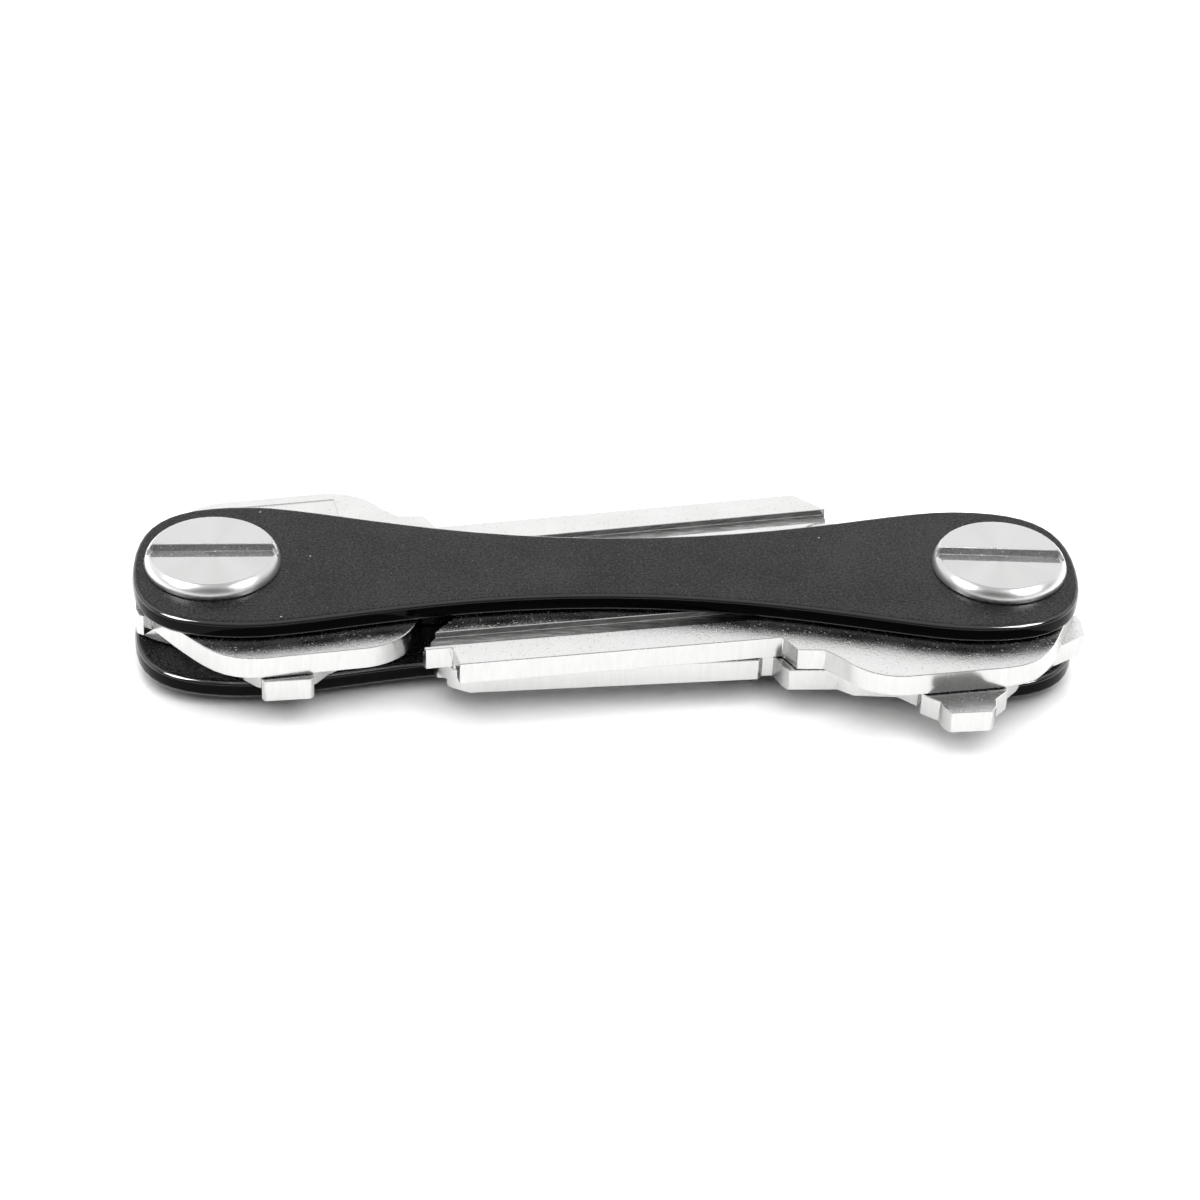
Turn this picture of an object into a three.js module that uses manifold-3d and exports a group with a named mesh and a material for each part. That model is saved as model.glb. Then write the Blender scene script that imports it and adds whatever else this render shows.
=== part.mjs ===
// Key organiser: two waisted plates held together by a slotted screw and a slotted
// female post at each end, with two keys folded between the plates on each post.
//
// Frame, in millimetres: X runs from the left post to the right post, Y towards the
// back, Z up. The origin is midway between the posts, on the plane the post heads
// rest on.

import * as THREE from 'three';
import { mergeVertices } from 'three/addons/utils/BufferGeometryUtils.js';
import Module from 'manifold-3d';

const wasm = await Module();
wasm.setup();

// ---------------------------------------------------------------- driving sizes

const POST_SPACING = 66.8;

const PLATE = {
  thickness: 1.6,
  tipX: 40.1,
  bulbX: 30.65,
  bulbHalfWidth: 9.1,
  waistHalfWidth: 4.53,
  edgeRadius: 0.4,
};

const HEAD = {
  height: 1.3,
  rimRadius: 5.75,
  flatRadius: 5.22,
  rimHeight: 0.3,
  rimChamfer: 0.08,
  shoulderBulge: 0.45,
};

const SLOT = {
  width: 1.94,
  depth: 0.74,
  straightHalfLength: 5.08,
  tipHalfLength: 5.56,
};

const BARREL_RADIUS = 2.4;
const BORE_RADIUS = 1.68;
const SHANK_RADIUS = 1.6;
const SHANK_LENGTH = 5.4;
const BORE_FLOOR = 3.2;
const BARREL_SHORTFALL = 0.4;
const PIVOT_HOLE_RADIUS = 2.48;

const GAP = 4.35;
const KEY_THICKNESS = 1.98;
const WASHER = { thickness: 0.1, innerRadius: 2.48, outerRadius: 4.6 };

const ROUND_SEGMENTS = 48;
const HOLE_SEGMENTS = 40;
const OVERCUT = 1;

// How far each key has swung from the line between the posts.
const KEY_ANGLE = {
  upperLeft: 10.2,
  lowerLeft: 6,
  upperRight: 8.75,
  lowerRight: 5,
};

// Slot directions on the heads, in degrees from the X axis.
const SLOT_ANGLE = {
  screwLeft: 1.2,
  screwRight: -2.4,
  postLeft: 24,
  postRight: -37,
};

// ------------------------------------------------------------------ derived levels

const backPlateZ = HEAD.height;
const gapZ = backPlateZ + PLATE.thickness;
const frontPlateZ = gapZ + GAP;
const frontFaceZ = frontPlateZ + PLATE.thickness;
const runningGap = (GAP - 2 * KEY_THICKNESS - 3 * WASHER.thickness) / 6;
const layerPitch = KEY_THICKNESS + WASHER.thickness + 2 * runningGap;
const lowerKeyZ = gapZ + WASHER.thickness + 2 * runningGap;
const upperKeyZ = lowerKeyZ + layerPitch;

// ---------------------------------------------------------------------- materials

const anodisedBlack = () =>
  new THREE.MeshStandardMaterial({ color: 0x2b2b2d, roughness: 0.42, metalness: 0.6 });

const stainlessSteel = () =>
  new THREE.MeshStandardMaterial({ color: 0xd6d6d4, roughness: 0.28, metalness: 1 });

const nickelPlate = () =>
  new THREE.MeshStandardMaterial({ color: 0xe4e3df, roughness: 0.2, metalness: 1 });

const springSteel = () =>
  new THREE.MeshStandardMaterial({ color: 0x9a9a98, roughness: 0.4, metalness: 1 });

// ------------------------------------------------------------------- solid helpers

// A closed geometry with one vertex per corner, ready for joining and cutting.
function toSolid(geometry) {
  const bare = geometry.index ? geometry.clone() : geometry;
  bare.deleteAttribute('normal');
  bare.deleteAttribute('uv');
  const merged = mergeVertices(bare, 1e-5);
  const vertProperties = new Float32Array(merged.attributes.position.array);
  const triVerts = new Uint32Array(merged.index.array);
  return new wasm.Manifold(new wasm.Mesh({ numProp: 3, vertProperties, triVerts }));
}

function toGeometry(solid) {
  const mesh = solid.getMesh();
  const geometry = new THREE.BufferGeometry();
  geometry.setAttribute('position', new THREE.BufferAttribute(mesh.vertProperties, 3));
  geometry.setIndex(new THREE.BufferAttribute(mesh.triVerts, 1));
  return geometry;
}

function cut(geometry, cutters) {
  const pieces = cutters.map(toSolid);
  const solid = pieces.reduce((rest, piece) => rest.subtract(piece), toSolid(geometry));
  return toGeometry(solid);
}

function extrude(shape, depth, curveSegments = 8) {
  return new THREE.ExtrudeGeometry(shape, { depth, bevelEnabled: false, curveSegments });
}

// A solid of revolution about Z from [radius, z] points that start and end on the axis
// or close on themselves.
function revolve(profile, segments = ROUND_SEGMENTS) {
  const points = profile.map(([radius, z]) => new THREE.Vector2(radius, z));
  return new THREE.LatheGeometry(points, segments).rotateX(Math.PI / 2);
}

function cylinder(radius, z0, z1, segments = HOLE_SEGMENTS) {
  const geometry = new THREE.CylinderGeometry(radius, radius, z1 - z0, segments);
  return geometry.rotateX(Math.PI / 2).translate(0, 0, (z0 + z1) / 2);
}

function box(x0, x1, y0, y1, z0, z1) {
  const geometry = new THREE.BoxGeometry(x1 - x0, y1 - y0, z1 - z0);
  return geometry.translate((x0 + x1) / 2, (y0 + y1) / 2, (z0 + z1) / 2);
}

function namedMesh(name, geometry, material) {
  const mesh = new THREE.Mesh(geometry, material);
  mesh.name = name;
  return mesh;
}

// -------------------------------------------------------------------------- plates

// One quarter of the waisted outline runs from the waist to the tip of the plate; the
// other three are its mirror images.
function plateOutline() {
  const { tipX, bulbX, bulbHalfWidth, waistHalfWidth } = PLATE;
  const waistPull = 15.5;
  const flarePull = 6;
  const crownPull = 6.9;
  const tipPull = 6.45;
  const shape = new THREE.Shape();
  const waistToTip = (sx, sy) => {
    shape.bezierCurveTo(
      sx * waistPull, sy * waistHalfWidth,
      sx * (bulbX - flarePull), sy * bulbHalfWidth,
      sx * bulbX, sy * bulbHalfWidth);
    shape.bezierCurveTo(
      sx * (bulbX + crownPull), sy * bulbHalfWidth,
      sx * tipX, sy * tipPull,
      sx * tipX, 0);
  };
  const tipToWaist = (sx, sy) => {
    shape.bezierCurveTo(
      sx * tipX, sy * tipPull,
      sx * (bulbX + crownPull), sy * bulbHalfWidth,
      sx * bulbX, sy * bulbHalfWidth);
    shape.bezierCurveTo(
      sx * (bulbX - flarePull), sy * bulbHalfWidth,
      sx * waistPull, sy * waistHalfWidth,
      0, sy * waistHalfWidth);
  };
  shape.moveTo(0, -waistHalfWidth);
  waistToTip(1, -1);
  tipToWaist(1, 1);
  waistToTip(-1, 1);
  tipToWaist(-1, -1);
  return shape;
}

function plateGeometry() {
  const { thickness, edgeRadius } = PLATE;
  const blank = new THREE.ExtrudeGeometry(plateOutline(), {
    depth: thickness - 2 * edgeRadius,
    bevelThickness: edgeRadius,
    bevelSize: edgeRadius,
    bevelOffset: -edgeRadius,
    bevelSegments: 3,
    curveSegments: 11,
  }).translate(0, 0, edgeRadius);
  const holes = [-1, 1].map((side) =>
    cylinder(PIVOT_HOLE_RADIUS, -OVERCUT, thickness + OVERCUT)
      .translate(side * POST_SPACING / 2, 0, 0));
  return cut(blank, holes);
}

// --------------------------------------------------------------- screws and posts

// Head profile from the underside to the centre of the flat top, as [radius, height].
function headProfile() {
  const { height, rimRadius, flatRadius, rimHeight, rimChamfer, shoulderBulge } = HEAD;
  const rim = new THREE.Vector2(rimRadius, rimHeight);
  const corner = new THREE.Vector2(rimRadius, height);
  const flat = new THREE.Vector2(flatRadius, height);
  const chord = rim.clone().lerp(flat, 0.5);
  const control = chord.lerp(corner, shoulderBulge);
  const shoulder = new THREE.QuadraticBezierCurve(rim, control, flat).getPoints(5);
  return [
    [rimRadius - rimChamfer, 0],
    [rimRadius, rimChamfer],
    ...shoulder.map((point) => [point.x, point.y]),
    [0, height],
  ];
}

// The driving slot: straight sides, and ends that come to a point at the head's edge.
function slotCutter(angle) {
  const { width, depth, straightHalfLength, tipHalfLength } = SLOT;
  const shape = new THREE.Shape();
  shape.moveTo(-straightHalfLength, -width / 2);
  shape.lineTo(straightHalfLength, -width / 2);
  shape.lineTo(tipHalfLength, 0);
  shape.lineTo(straightHalfLength, width / 2);
  shape.lineTo(-straightHalfLength, width / 2);
  shape.lineTo(-tipHalfLength, 0);
  return extrude(shape, depth + OVERCUT)
    .rotateZ(THREE.MathUtils.degToRad(angle))
    .translate(0, 0, HEAD.height - depth);
}

// Male screw: the underside of its head is at z = 0 and the shank hangs below.
function screwGeometry(slotAngle) {
  const shankChamfer = 0.3;
  const shank = [
    [0, -SHANK_LENGTH],
    [SHANK_RADIUS - shankChamfer, -SHANK_LENGTH],
    [SHANK_RADIUS, shankChamfer - SHANK_LENGTH],
    [SHANK_RADIUS, 0],
  ];
  return cut(revolve([...shank, ...headProfile()]), [slotCutter(slotAngle)]);
}

// Female post: head down, its flat on z = 0, with a blind bore from the top.
function postGeometry(slotAngle) {
  const top = frontFaceZ - BARREL_SHORTFALL;
  const mouthChamfer = 0.15;
  const head = headProfile().map(([radius, z]) => [radius, HEAD.height - z]).reverse();
  const barrel = [
    [BARREL_RADIUS, HEAD.height],
    [BARREL_RADIUS, top - mouthChamfer],
    [BARREL_RADIUS - mouthChamfer, top],
    [BORE_RADIUS + mouthChamfer, top],
    [BORE_RADIUS, top - mouthChamfer],
    [BORE_RADIUS, BORE_FLOOR],
    [0, BORE_FLOOR],
  ];
  const slot = slotCutter(slotAngle).rotateX(Math.PI).translate(0, 0, HEAD.height);
  return cut(revolve([...head, ...barrel]), [slot]);
}

function washerGeometry() {
  const { thickness, innerRadius, outerRadius } = WASHER;
  return revolve([
    [innerRadius, 0],
    [outerRadius, 0],
    [outerRadius, thickness],
    [innerRadius, thickness],
    [innerRadius, 0],
  ], HOLE_SEGMENTS);
}

// ---------------------------------------------------------------------------- keys
//
// A key lies flat with its pivot hole at the origin and its blade along +X. The spine
// is the straight edge on the +Y side; the bitting is on the -Y side.

// Cutters for the bitting, one for each depth: flat-nosed wedges that enter the blade
// from its lower edge, deepest at the nose.
function bittingCutters(firstCutX, edgeY, depths) {
  const pitch = 3.96;
  const noseHalf = 0.6;
  const mouthHalf = 3;
  const mouthDrop = 2.2;
  return depths.map((depth, index) => {
    const shape = new THREE.Shape();
    shape.moveTo(-noseHalf, 0);
    shape.lineTo(-mouthHalf, -mouthDrop);
    shape.lineTo(-mouthHalf, -mouthDrop - OVERCUT);
    shape.lineTo(mouthHalf, -mouthDrop - OVERCUT);
    shape.lineTo(mouthHalf, -mouthDrop);
    shape.lineTo(noseHalf, 0);
    return extrude(shape, KEY_THICKNESS + 2 * OVERCUT)
      .translate(firstCutX + index * pitch, edgeY + depth, -OVERCUT);
  });
}

function lineThrough(shape, points) {
  points.forEach(([x, y]) => shape.lineTo(x, y));
}

// Points that trace a key run from the tail, along the lower edge, round the tip and back
// along the spine. A round bow's tail runs from its upper to its lower corner.
const ROUND_BOW = {
  neck: [-4, 6.6],
  neckPulls: [[-2.2, 9.6], [-1, 12]],
  sideX: [2.6, 11.2],
  halfWidth: 12.15,
  cornerPulls: [[13.3, 12], [14.9, 10.9]],
  corner: [15.9, 8.9],
  heel: [[16.6, -6.6], [18.4, -3.3]],
  shoulder: [[20.1, 5.1], [19.3, 7.1], [17.1, 7.45]],
  edgeY: -3.3,
  firstCutX: 24.2,
};

// Wide round-cornered bow that narrows to a tail. Apart from the tail and the half width
// of the lower side it is the same above and below.
function roundBowOutline(tip, tail, lowerHalfWidth = ROUND_BOW.halfWidth) {
  const { neck, neckPulls, sideX, halfWidth, cornerPulls, corner } = ROUND_BOW;
  const below = ([x, y]) => [x, -y];
  const shape = new THREE.Shape();
  shape.moveTo(...tail[0]);
  lineThrough(shape, tail.slice(1));
  shape.lineTo(...below(neck));
  shape.bezierCurveTo(...neckPulls.flatMap(below), sideX[0], -lowerHalfWidth);
  shape.lineTo(sideX[1], -lowerHalfWidth);
  shape.bezierCurveTo(...cornerPulls.flatMap(below), ...below(corner));
  lineThrough(shape, ROUND_BOW.heel);
  lineThrough(shape, tip);
  lineThrough(shape, ROUND_BOW.shoulder);
  shape.lineTo(...corner);
  shape.bezierCurveTo(...[...cornerPulls].reverse().flat(), sideX[1], halfWidth);
  shape.lineTo(sideX[0], halfWidth);
  shape.bezierCurveTo(...[...neckPulls].reverse().flat(), ...neck);
  return shape;
}

const LUG_BOW = {
  lowerTail: [[-6.6, -1.3], [-5.1, -2.6], [-3.9, -3.3]],
  upperTail: [
    [-0.3, 9.2], [-1.8, 8.6], [-3.6, 6.9], [-4.6, 6.3], [-6.7, 5], [-6.9, 3], [-6.75, 2.2],
  ],
  lugX: 5.4,
  heel: [[10.4, -8.2], [15, -7.4], [16.4, -6.2], [17.4, -2.4]],
  shoulder: [
    [21.7, 6.6], [21.3, 6.15], [20.4, 6.15], [19.9, 7.6], [19.4, 8.3], [15.3, 8.6], [14.1, 9.6],
  ],
  edgeY: -2.4,
  firstCutX: 23.4,
};

// Half outlines of the stepped lugs, as [distance from the lug's centre line, y], from
// the root of the lug to its end.
const NEAR_LUG = [[3.6, -9], [2.5, -10.2], [2.15, -10.4], [2.15, -12], [1.9, -12.3]];
const FAR_LUG = [
  [5.1, 10.1], [3.7, 11.5], [3.65, 12.55], [2.35, 13.75], [2.2, 14.7], [1.7, 15.4],
];

// Narrow bow with a stepped lug on each side.
function lugBowOutline(tip) {
  const { lowerTail, upperTail, lugX, heel, shoulder } = LUG_BOW;
  const towardsTail = (steps) => steps.map(([half, y]) => [lugX - half, y]);
  const towardsTip = (steps) => steps.map(([half, y]) => [lugX + half, y]);
  const shape = new THREE.Shape();
  shape.moveTo(...lowerTail[0]);
  lineThrough(shape, lowerTail.slice(1));
  lineThrough(shape, towardsTail(NEAR_LUG));
  lineThrough(shape, towardsTip(NEAR_LUG).reverse());
  lineThrough(shape, heel);
  lineThrough(shape, tip);
  lineThrough(shape, shoulder);
  lineThrough(shape, towardsTip(FAR_LUG));
  lineThrough(shape, towardsTail(FAR_LUG).reverse());
  lineThrough(shape, upperTail);
  return shape;
}

// A milled groove along the blade, from and to across it, in its top or bottom face.
function grooveCutter({ startX, from, to, depth, top }) {
  const pastTip = 60;
  const z0 = top ? KEY_THICKNESS - depth : -OVERCUT;
  const z1 = top ? KEY_THICKNESS + OVERCUT : depth;
  return box(startX, pastTip, from, to, z0, z1);
}

function keyGeometry(outline, cutters) {
  const hole = cylinder(PIVOT_HOLE_RADIUS, -OVERCUT, KEY_THICKNESS + OVERCUT);
  return cut(extrude(outline, KEY_THICKNESS), [hole, ...cutters]);
}

const ROUND_KEY_GROOVES = [
  { startX: 20.6, from: 0.3, to: 2.25, depth: 0.55, top: true },
  { startX: 20.6, from: 2.9, to: 4.1, depth: 0.6, top: false },
  { startX: 20.6, from: -1.2, to: 0.1, depth: 0.6, top: false },
];

const LUG_KEY_GROOVES = [
  { startX: 21.6, from: 1.7, to: 3.5, depth: 0.6, top: true },
  { startX: 21.6, from: 4.2, to: 5.3, depth: 0.6, top: false },
  { startX: 21.6, from: 0, to: 1.4, depth: 0.6, top: false },
];

// Shallow pressed panel on the bow, left out around the pivot hole.
function panelCutter() {
  const depth = 0.06;
  const bossRadius = 5.4;
  const [startX, endX, startY, endY] = [-1, 12, -7, 11];
  const [z0, z1] = [KEY_THICKNESS - depth, KEY_THICKNESS + OVERCUT];
  const panel = box(startX, endX, startY, endY, z0, z1);
  return cut(panel, [cylinder(bossRadius, -OVERCUT, KEY_THICKNESS + 2 * OVERCUT)]);
}

function roundKeyCutters(depths) {
  const bitting = bittingCutters(ROUND_BOW.firstCutX, ROUND_BOW.edgeY, depths);
  return [...bitting, ...ROUND_KEY_GROOVES.map(grooveCutter)];
}

// Long key: its tail has a lobe at the lower corner, set off by a notch.
function longRoundKey() {
  const tip = [[46, -3.3], [48.6, -2], [54.2, 1], [54.4, 2.3], [52.2, 5.1]];
  const tail = [
    [-6.2, 2.8], [-6.8, -1.6], [-6.9, -3.4], [-6.75, -4.1], [-6.4, -4.35], [-5.6, -3.7],
  ];
  const cutters = roundKeyCutters([1.2, 2.1, 0.7, 1.7, 1.1, 0.9]);
  return keyGeometry(roundBowOutline(tip, tail), [panelCutter(), ...cutters]);
}

// Short key: its tail is cut off square and its tip is stepped back along the spine.
function shortRoundKey() {
  const tip = [
    [45, -3.3], [48.2, -0.3], [49.2, 0.9], [49.3, 1.7], [50, 2.1], [49.8, 2.6], [47.6, 2.6],
    [47.4, 5.1],
  ];
  const tail = [[-6.35, 2.8], [-6.2, -2.8]];
  const lowerHalfWidth = 11.4;
  const outline = roundBowOutline(tip, tail, lowerHalfWidth);
  return keyGeometry(outline, roundKeyCutters([0.8, 1.5, 2.2, 1, 1.8]));
}

function lugKey(depths) {
  const tip = [[43.6, -2.4], [47.6, 0.2], [48.7, 3.2], [48.3, 4.7], [47.3, 5.8], [45.9, 6.6]];
  const bitting = bittingCutters(LUG_BOW.firstCutX, LUG_BOW.edgeY, depths);
  return keyGeometry(lugBowOutline(tip), [...bitting, ...LUG_KEY_GROOVES.map(grooveCutter)]);
}

// ------------------------------------------------------------------------ assembly

const organiser = new THREE.Group();

function addPlates() {
  const back = namedMesh('back_plate', plateGeometry(), anodisedBlack());
  back.position.z = backPlateZ;
  const front = namedMesh('front_plate', plateGeometry(), anodisedBlack());
  front.position.z = frontPlateZ;
  organiser.add(back, front);
}

// A post, its screw and its washers, all on one axis.
function addPostStack(side, x, postAngle, screwAngle) {
  const stack = new THREE.Group();
  stack.position.x = x;
  const post = namedMesh(`post_${side}`, postGeometry(postAngle), stainlessSteel());
  const screw = namedMesh(`screw_${side}`, screwGeometry(screwAngle), stainlessSteel());
  screw.position.z = frontFaceZ;
  stack.add(post, screw);
  ['lower', 'middle', 'upper'].forEach((place, level) => {
    const washer = namedMesh(`${place}_washer_${side}`, washerGeometry(), springSteel());
    washer.position.z = gapZ + runningGap + level * layerPitch;
    stack.add(washer);
  });
  organiser.add(stack);
}

// A key on its post. The right-hand keys point the other way.
function addKey(name, geometry, x, z, angle) {
  const pivot = new THREE.Group();
  pivot.position.set(x, 0, z);
  const facing = x > 0 ? 180 : 0;
  pivot.rotation.z = THREE.MathUtils.degToRad(facing + angle);
  pivot.add(namedMesh(name, geometry, nickelPlate()));
  organiser.add(pivot);
}

const rightX = POST_SPACING / 2;
const leftX = -rightX;

addPlates();
addPostStack('left', leftX, SLOT_ANGLE.postLeft, SLOT_ANGLE.screwLeft);
addPostStack('right', rightX, SLOT_ANGLE.postRight, SLOT_ANGLE.screwRight);
addKey('key_upper_left', longRoundKey(), leftX, upperKeyZ, KEY_ANGLE.upperLeft);
addKey('key_lower_left', lugKey([1, 1.9, 0.6, 1.4, 1.7]), leftX, lowerKeyZ,
  KEY_ANGLE.lowerLeft);
addKey('key_upper_right', shortRoundKey(), rightX, upperKeyZ, KEY_ANGLE.upperRight);
addKey('key_lower_right', lugKey([1.6, 0.7, 1.9, 1.1, 1.3]), rightX, lowerKeyZ,
  KEY_ANGLE.lowerRight);

export default organiser;
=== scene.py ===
"""Looks for a pocket key organiser: two waisted black plates, slotted screws and posts, and
four plated keys that swing out from between the plates. Lengths here are in metres."""

import math

import bpy
from mathutils import Matrix, Vector


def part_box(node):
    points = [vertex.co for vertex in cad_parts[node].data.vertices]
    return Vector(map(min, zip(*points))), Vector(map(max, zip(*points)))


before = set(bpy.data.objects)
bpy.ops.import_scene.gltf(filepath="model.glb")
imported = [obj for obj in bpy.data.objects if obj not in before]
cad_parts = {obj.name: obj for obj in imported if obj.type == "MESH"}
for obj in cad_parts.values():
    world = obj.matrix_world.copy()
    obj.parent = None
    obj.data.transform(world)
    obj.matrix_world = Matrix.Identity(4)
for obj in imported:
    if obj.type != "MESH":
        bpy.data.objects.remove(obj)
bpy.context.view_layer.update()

MM = 0.001

# Read from the CAD model.
FRONT_FACE_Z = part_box("front_plate")[1].z
SCREW_FLAT_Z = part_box("screw_left")[1].z
POST_FLAT_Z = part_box("post_left")[0].z

# Distance of each post from the middle, and the turned heads on it.
POST_X = 33.4 * MM
HEAD_FLAT_RADIUS = 5.22 * MM

SIDES = ("left", "right")
PLATES = ("front_plate", "back_plate")
HEADED = ("screw_left", "screw_right", "post_left", "post_right")


# ------------------------------------------------------------------ shader helpers


class Shader:
    """A material's node tree with short calls for the nodes used here."""

    def __init__(self, name):
        self.material = bpy.data.materials.new(name)
        self.material.use_nodes = True
        self.tree = self.material.node_tree
        self.tree.nodes.clear()
        self.output = self.tree.nodes.new("ShaderNodeOutputMaterial")
        self.coordinates = self.tree.nodes.new("ShaderNodeTexCoord").outputs["Object"]
        self.geometry = self.tree.nodes.new("ShaderNodeNewGeometry")

    def connect(self, socket, value):
        if isinstance(value, bpy.types.NodeSocket):
            self.tree.links.new(value, socket)
        elif isinstance(value, (tuple, list)) and len(value) == 3 and socket.type == "RGBA":
            socket.default_value = (*value, 1.0)
        else:
            socket.default_value = value

    def node(self, kind, inputs=None, **settings):
        made = self.tree.nodes.new(kind)
        for key, value in settings.items():
            setattr(made, key, value)
        for key, value in (inputs or {}).items():
            self.connect(made.inputs[key], value)
        return made

    def math(self, operation, a, b=0.0):
        return self.node("ShaderNodeMath", {0: a, 1: b}, operation=operation).outputs[0]

    def product(self, a, b):
        return self.math("MULTIPLY", a, b)

    def invert(self, value):
        return self.math("SUBTRACT", 1.0, value)

    def ramp(self, value, low, high, to_low=0.0, to_high=1.0):
        """A smooth step from to_low, where the value is low, to to_high, where it is high."""
        inputs = {
            "Value": value,
            "From Min": low,
            "From Max": high,
            "To Min": to_low,
            "To Max": to_high,
        }
        made = self.node("ShaderNodeMapRange", inputs, interpolation_type="SMOOTHSTEP")
        return made.outputs["Result"]

    def noise(self, size, detail=2.0, roughness=0.5, vector=None):
        inputs = {
            "Vector": self.coordinates if vector is None else vector,
            "Scale": 1.0 / size,
            "Detail": detail,
            "Roughness": roughness,
        }
        return self.node("ShaderNodeTexNoise", inputs).outputs["Fac"]

    def stretched(self, x, y, z):
        """Coordinates scaled along each axis; below 1 draws a pattern out along it."""
        inputs = {0: self.coordinates, 1: (x, y, z)}
        return self.node("ShaderNodeVectorMath", inputs, operation="MULTIPLY").outputs[0]

    def vector(self, x, y=0.0):
        return self.node("ShaderNodeCombineXYZ", {0: x, 1: y}).outputs[0]

    def specks(self, size, radius):
        """1 inside small round spots scattered one to a cell, 0 elsewhere."""
        inputs = {"Vector": self.coordinates, "Scale": 1.0 / size}
        cells = self.node("ShaderNodeTexVoronoi", inputs)
        return self.ramp(cells.outputs["Distance"], radius, radius * 0.6)

    def mix(self, factor, a, b):
        """Colour a where the factor is 0, b where it is 1."""
        made = self.node("ShaderNodeMix", data_type="RGBA")
        self.connect(made.inputs["Factor"], factor)
        self.connect(made.inputs[6], a)
        self.connect(made.inputs[7], b)
        return made.outputs[2]

    def blend(self, factor, a, b):
        """Number a where the factor is 0, b where it is 1."""
        made = self.node("ShaderNodeMix", data_type="FLOAT")
        self.connect(made.inputs["Factor"], factor)
        self.connect(made.inputs[2], a)
        self.connect(made.inputs[3], b)
        return made.outputs[0]

    def parts(self, vector):
        return self.node("ShaderNodeSeparateXYZ", {0: vector}).outputs

    def bump(self, height, depth, strength):
        inputs = {"Height": height, "Distance": depth, "Strength": strength}
        return self.node("ShaderNodeBump", inputs).outputs[0]

    def finish(self, **inputs):
        names = {key.replace("_", " "): value for key, value in inputs.items()}
        surface = self.node("ShaderNodeBsdfPrincipled", names)
        self.tree.links.new(surface.outputs[0], self.output.inputs["Surface"])
        return self.material


# ------------------------------------------------------------------------ finishes


def anodised_black():
    """Satin grain on the flat faces, glossier on the rounded edges, with a little dust."""
    s = Shader("anodised_black")
    upright = s.math("ABSOLUTE", s.parts(s.geometry.outputs["Normal"])[2])
    flat = s.ramp(upright, 0.9, 0.995)
    rounded = s.product(s.ramp(upright, 0.15, 0.4), s.invert(flat))
    cloud = s.noise(6 * MM, detail=3)
    grain = s.noise(0.21 * MM, detail=2, roughness=0.7)
    dust = s.product(s.specks(3.1 * MM, 0.03), flat)
    fleck = s.product(s.specks(0.8 * MM, 0.1), flat)
    tone = s.ramp(s.math("ADD", grain, s.product(cloud, 0.25)), 0.48, 0.77)
    face = s.mix(tone, (0.001, 0.001, 0.0012), (0.017, 0.017, 0.0175))
    # Off the flat faces the colour is near-black, darker than the flat faces' grain: painted
    # shade on the upright sides.
    base = s.mix(flat, (0.0012, 0.0012, 0.0012), face)
    base = s.mix(fleck, base, (0.045, 0.045, 0.045))
    return s.finish(
        Base_Color=s.mix(dust, base, (0.3, 0.3, 0.3)),
        Roughness=s.blend(flat, 0.1, s.ramp(cloud, 0.3, 0.7, 0.22, 0.28)),
        IOR=s.blend(rounded, 1.5, 1.95),
        # The upright sides reflect least of all: painted shade.
        Specular_IOR_Level=s.blend(flat, s.blend(rounded, 0.06, 0.5), 0.2),
        Normal=s.bump(grain, 0.02 * MM, s.blend(flat, 0.03, 0.8)),
    )


def turned_steel(flat_z, inward):
    """Turned heads: wedges of sheen on the flat, partly from the anisotropic turning and
    partly painted sheen in the colour, a polished shoulder and a rougher slot. The slot runs
    from flat_z towards inward, 1 for up and -1 for down."""
    s = Shader("turned_steel")
    x, y, z = s.parts(s.coordinates)
    across = s.math("SUBTRACT", s.math("ABSOLUTE", x), POST_X)
    radius = s.math("SQRT", s.math("ADD", s.product(across, across), s.product(y, y)))
    depth = s.product(s.math("SUBTRACT", z, flat_z), inward)
    low = s.ramp(depth, 0.05 * MM, 0.12 * MM)
    shoulder = s.ramp(radius, HEAD_FLAT_RADIUS - 0.04 * MM, HEAD_FLAT_RADIUS + 0.04 * MM)
    in_slot = s.product(low, s.invert(shoulder))
    angle = s.math("ARCTAN2", y, across)
    around = s.vector(s.math("COSINE", angle), s.math("SINE", angle))
    fan_sheen = s.noise(0.8, detail=0, vector=around)
    rings = s.noise(0.14 * MM, detail=2, vector=s.vector(radius))
    grit = s.noise(0.12 * MM, detail=3, roughness=0.75)
    pits = s.specks(0.55 * MM, 0.2)
    # Wedges of lighter and darker colour around the head: painted sheen, added to the real
    # sheen of the anisotropic turning. The same pattern also varies the roughness.
    face = s.mix(s.ramp(fan_sheen, 0.3, 0.7), (0.72, 0.72, 0.715), (0.79, 0.79, 0.785))
    lit = s.mix(s.ramp(rings, 0.3, 0.7, 0.0, 0.3), face, (0.7, 0.7, 0.7))
    slot_base = s.mix(s.ramp(grit, 0.4, 0.65), (0.3, 0.3, 0.3), (0.5, 0.5, 0.5))
    slot_base = s.mix(pits, slot_base, (0.7, 0.7, 0.7))
    roughness = s.blend(shoulder, s.ramp(fan_sheen, 0.3, 0.7, 0.24, 0.3), 0.3)
    turning = s.node("ShaderNodeTangent", direction_type="RADIAL", axis="Z").outputs[0]
    return s.finish(
        Base_Color=s.mix(in_slot, lit, slot_base),
        Metallic=1.0,
        Roughness=s.blend(in_slot, roughness, 0.5),
        Anisotropic=s.blend(shoulder, 0.6, 0.2),
        Tangent=turning,
        Normal=s.bump(s.blend(in_slot, rings, grit), 0.004 * MM, s.blend(in_slot, 0.25, 1.0)),
    )


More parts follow.
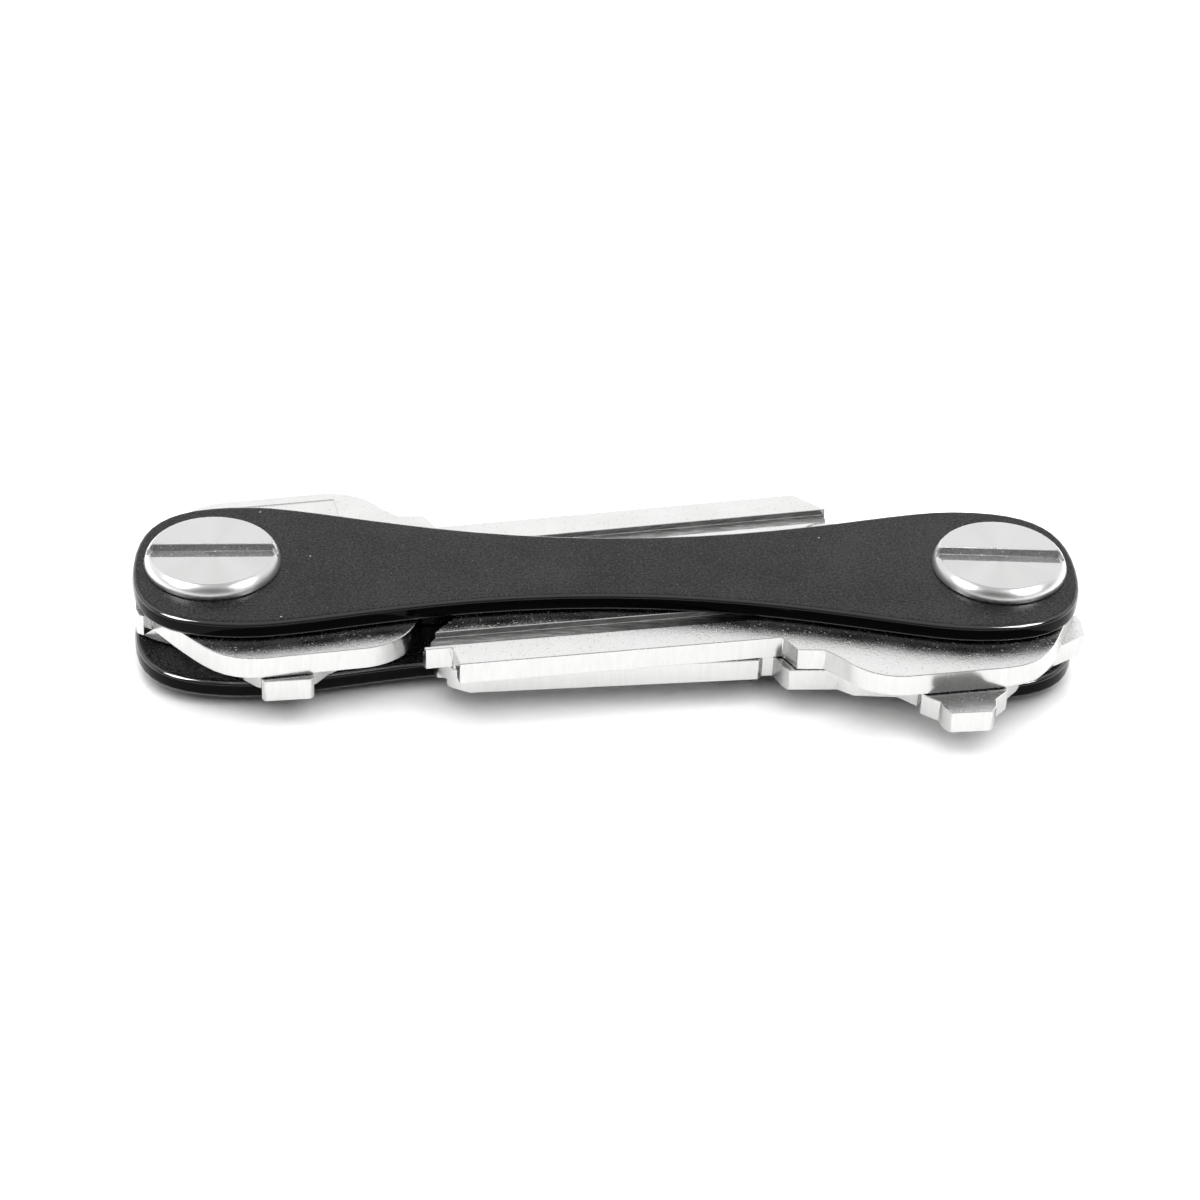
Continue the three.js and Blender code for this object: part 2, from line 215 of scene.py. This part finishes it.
def plated_key(name, top_z):
    """Bright plating with light wear; shear-cut edges and grooves cut by milling are rougher,
    and their darker colour is partly painted shade.
    """
    s = Shader(name)
    z = s.parts(s.coordinates)[2]
    nz = s.parts(s.geometry.outputs["Normal"])[2]
    side = s.ramp(s.math("ABSOLUTE", nz), 0.5, 0.2)
    facing_up = s.ramp(nz, 0.5, 0.9)
    sunk = s.ramp(s.math("SUBTRACT", top_z, z), 0.25 * MM, 0.35 * MM)
    groove = s.product(facing_up, sunk)
    cloud = s.noise(3.5 * MM, detail=4, roughness=0.6)
    grit = s.noise(0.3 * MM, detail=4, roughness=0.8)
    shear = s.noise(0.3 * MM, detail=3, roughness=0.7, vector=s.stretched(1.0, 1.0, 0.12))
    mill = s.noise(0.22 * MM, detail=3, roughness=0.8, vector=s.stretched(0.1, 1.0, 1.0))
    pits = s.product(s.specks(1.3 * MM, 0.06), 0.5)
    scuffs = s.specks(0.42 * MM, 0.24)
    bright = s.mix(s.ramp(cloud, 0.3, 0.7), (0.86, 0.86, 0.85), (0.93, 0.93, 0.925))
    # The upright sides are darker than the tops: partly their rougher shear-cut finish,
    # partly painted shade.
    sheared_with_painted_shade = s.mix(s.ramp(shear, 0.3, 0.7), (0.5, 0.5, 0.495), (0.54, 0.54, 0.535))
    # The sunk groove floors are darker than the tops: partly their streaked machined finish,
    # partly painted shade.
    milled_with_painted_shade = s.mix(s.ramp(mill, 0.4, 0.66), (0.34, 0.34, 0.335), (0.72, 0.72, 0.715))
    base = s.mix(groove, s.mix(side, bright, sheared_with_painted_shade), milled_with_painted_shade)
    smooth_rough = s.blend(scuffs, s.ramp(cloud, 0.3, 0.7, 0.21, 0.29), 0.6)
    roughness = s.blend(groove, s.blend(side, smooth_rough, 0.2), 0.42)
    height = s.blend(groove, s.blend(side, grit, shear), mill)
    strength = s.blend(groove, s.blend(side, 1.0, 0.06), 0.5)
    return s.finish(
        Base_Color=s.mix(pits, base, (0.35, 0.35, 0.345)),
        Metallic=1.0,
        Roughness=roughness,
        Normal=s.bump(height, 0.02 * MM, strength),
    )


def shim_steel():
    s = Shader("shim_steel")
    cloud = s.noise(0.9 * MM, detail=3)
    roll = s.noise(0.2 * MM, detail=3, roughness=0.7, vector=s.stretched(0.08, 1.0, 1.0))
    return s.finish(
        Base_Color=s.mix(s.ramp(roll, 0.35, 0.65), (0.34, 0.34, 0.335), (0.5, 0.5, 0.49)),
        Metallic=1.0,
        Roughness=s.ramp(cloud, 0.3, 0.7, 0.32, 0.46),
        Normal=s.bump(roll, 0.003 * MM, 0.5),
    )


def floor_paper():
    s = Shader("floor_paper")
    tooth = s.noise(0.7 * MM, detail=3)
    return s.finish(
        Base_Color=s.mix(s.ramp(tooth, 0.3, 0.7), (0.84, 0.84, 0.84), (0.86, 0.86, 0.86)),
        Roughness=0.85,
        Specular_IOR_Level=0.1,
        Normal=s.bump(tooth, 0.01 * MM, 0.2),
    )


# ------------------------------------------------------------------ frame surfaces


SMOOTH_BELOW = math.radians(32)
BEVEL_ABOVE = math.radians(34)
JOIN_DISTANCE = 1e-7


def rounding_group():
    """Joins the corner points of a CAD mesh and smooths its flatter edges."""
    group = bpy.data.node_groups.new("join_and_smooth", "GeometryNodeTree")
    group.interface.new_socket("Geometry", in_out="INPUT", socket_type="NodeSocketGeometry")
    group.interface.new_socket("Geometry", in_out="OUTPUT", socket_type="NodeSocketGeometry")
    add = group.nodes.new
    source, sink = add("NodeGroupInput"), add("NodeGroupOutput")
    join = add("GeometryNodeMergeByDistance")
    join.inputs["Distance"].default_value = JOIN_DISTANCE
    smooth, sharp = add("GeometryNodeSetShadeSmooth"), add("GeometryNodeSetShadeSmooth")
    sharp.domain = "EDGE"
    sharp.inputs["Shade Smooth"].default_value = False
    angle, compare = add("GeometryNodeInputMeshEdgeAngle"), add("FunctionNodeCompare")
    compare.operation = "GREATER_THAN"
    compare.inputs[1].default_value = SMOOTH_BELOW
    for a, b in [
        (source.outputs[0], join.inputs["Geometry"]),
        (join.outputs[0], smooth.inputs["Geometry"]),
        (smooth.outputs[0], sharp.inputs["Geometry"]),
        (angle.outputs["Unsigned Angle"], compare.inputs[0]),
        (compare.outputs[0], sharp.inputs["Selection"]),
        (sharp.outputs[0], sink.inputs[0]),
    ]:
        group.links.new(a, b)
    return group


def refine(node, material, bevel=0.0):
    """Gives a CAD node its finish and clean shading, and broken edges if bevel is set."""
    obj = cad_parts[node]
    obj.data.materials.clear()
    obj.data.materials.append(material)
    join = obj.modifiers.new("join", "NODES")
    join.node_group = ROUNDING
    if bevel:
        edge = obj.modifiers.new("edge", "BEVEL")
        edge.width = bevel
        edge.segments = 2
        edge.limit_method = "ANGLE"
        edge.angle_limit = BEVEL_ABOVE
        edge.use_clamp_overlap = False
        edge.harden_normals = False
    even = obj.modifiers.new("even", "WEIGHTED_NORMAL")
    even.keep_sharp = True
    even.weight = 100


ROUNDING = rounding_group()

BLACK = anodised_black()
SCREW_STEEL = turned_steel(SCREW_FLAT_Z, -1.0)
POST_STEEL = turned_steel(POST_FLAT_Z, 1.0)
SHIM = shim_steel()

HEAD_BEVEL = 0.05 * MM
KEY_BEVEL = 0.06 * MM

for plate in PLATES:
    refine(plate, BLACK)
for side in SIDES:
    refine(f"screw_{side}", SCREW_STEEL, HEAD_BEVEL)
    refine(f"post_{side}", POST_STEEL, HEAD_BEVEL)
    for layer in ("lower", "middle", "upper"):
        refine(f"{layer}_washer_{side}", SHIM)
    for layer in ("upper", "lower"):
        key = f"key_{layer}_{side}"
        plating = plated_key(f"plated_{layer}_{side}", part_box(key)[1].z)
        refine(key, plating, KEY_BEVEL)


# --------------------------------------------------------------------------- stage


def add_to_scene(name, data):
    obj = bpy.data.objects.new(name, data)
    bpy.context.scene.collection.objects.link(obj)
    return obj


def floor():
    half = 3.0
    mesh = bpy.data.meshes.new("floor")
    corners = [(-half, -half, 0), (half, -half, 0), (half, half, 0), (-half, half, 0)]
    mesh.from_pydata(corners, [], [(0, 1, 2, 3)])
    mesh.materials.append(floor_paper())
    add_to_scene("floor", mesh)


def direction(azimuth, elevation):
    """Away from the object, in degrees. Azimuth 0 is in front and 90 to the right."""
    a, e = math.radians(azimuth), math.radians(elevation)
    return Vector((math.sin(a) * math.cos(e), -math.cos(a) * math.cos(e), math.sin(e)))


def soft_box(name, azimuth, elevation, distance, width, height, power, mirrored_in=()):
    """An area light aimed at the object, seen only by matt surfaces or, when pieces are
    named, only mirrored in those."""
    light = bpy.data.lights.new(name, "AREA")
    light.shape = "RECTANGLE"
    light.size, light.size_y = width, height
    light.energy = power
    obj = add_to_scene(name, light)
    away = direction(azimuth, elevation)
    obj.location = away * distance
    obj.rotation_mode = "QUATERNION"
    obj.rotation_quaternion = away.to_track_quat("Z", "Y")
    obj.visible_glossy, obj.visible_diffuse = bool(mirrored_in), not mirrored_in
    if mirrored_in:
        lit = bpy.data.collections.new(f"{name}_lights")
        for node in mirrored_in:
            lit.objects.link(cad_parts[node])
        obj.light_linking.receiver_collection = lit


def studio_world():
    """White behind the object, and in front dark near the floor and paler overhead."""
    world = bpy.data.worlds.new("studio")
    world.use_nodes = True
    tree = world.node_tree
    tree.nodes.clear()
    add, link = tree.nodes.new, tree.links.new
    place, split = add("ShaderNodeTexCoord"), add("ShaderNodeSeparateXYZ")
    link(place.outputs["Generated"], split.inputs[0])

    def level(axis, low, high, at_low, at_high):
        """A smooth step in brightness along an axis of the view direction."""
        node = add("ShaderNodeMapRange")
        node.interpolation_type = "SMOOTHSTEP"
        node.inputs["From Min"].default_value = low
        node.inputs["From Max"].default_value = high
        node.inputs["To Min"].default_value = at_low
        node.inputs["To Max"].default_value = at_high
        link(split.outputs[axis], node.inputs["Value"])
        return node.outputs["Result"]

    behind = level("Z", 0.75, 0.98, 1.0, 0.6)
    before = level("Z", 0.3, 0.95, 0.1, 0.6)
    rear = level("Y", -0.4, 0.3, 0.0, 1.0)
    mix = add("ShaderNodeMix")
    for socket, value in ((0, rear), (2, before), (3, behind)):
        link(value, mix.inputs[socket])
    sky, out = add("ShaderNodeBackground"), add("ShaderNodeOutputWorld")
    link(mix.outputs[0], sky.inputs["Strength"])
    sky.inputs["Color"].default_value = (1, 1, 1, 1)
    link(sky.outputs[0], out.inputs[0])
    bpy.context.scene.world = world


CAMERA = {
    "azimuth": -3.993,
    "elevation": 33.199,
    "roll": math.radians(2.516),
    "distance": 290.733 * MM,
    "lens": 102.84,
    "shift": (-0.00704, -0.02892),
}


def camera():
    """A camera turned about the middle of the front plate's top face."""
    azimuth, roll = math.radians(CAMERA["azimuth"]), CAMERA["roll"]
    back = direction(CAMERA["azimuth"], CAMERA["elevation"])
    right = Vector((math.cos(azimuth), math.sin(azimuth), 0))
    up = back.cross(right)
    across = math.cos(roll) * right + math.sin(roll) * up
    along = -math.sin(roll) * right + math.cos(roll) * up
    data = bpy.data.cameras.new("camera")
    data.lens = CAMERA["lens"]
    data.sensor_width = 36
    data.shift_x, data.shift_y = CAMERA["shift"]
    data.clip_start, data.clip_end = 0.01, 10
    obj = add_to_scene("camera", data)
    matrix = Matrix((across, along, back)).transposed().to_4x4()
    matrix.translation = Vector((0, 0, FRONT_FACE_Z)) + back * CAMERA["distance"]
    obj.matrix_world = matrix
    bpy.context.scene.camera = obj


floor()
studio_world()
# Each box: azimuth and elevation in degrees, distance, width and height in metres, watts.
soft_box("back_box", 180, 60, 0.5, 0.5, 0.24, 2.7)
soft_box("fill_box", 0, 62, 0.5, 0.6, 0.4, 3.2)
soft_box("left_steel_box", -64, 31, 0.2, 0.075, 0.11, 0.27, HEADED)
soft_box("right_steel_box", 52, 31, 0.21, 0.08, 0.11, 0.29, HEADED)
soft_box("left_plate_box", -64, 40, 0.2, 0.075, 0.1, 0.4, PLATES)
soft_box("right_plate_box", 52, 40, 0.21, 0.08, 0.1, 0.42, PLATES)
camera()
bpy.context.scene.view_settings.view_transform = "Standard"
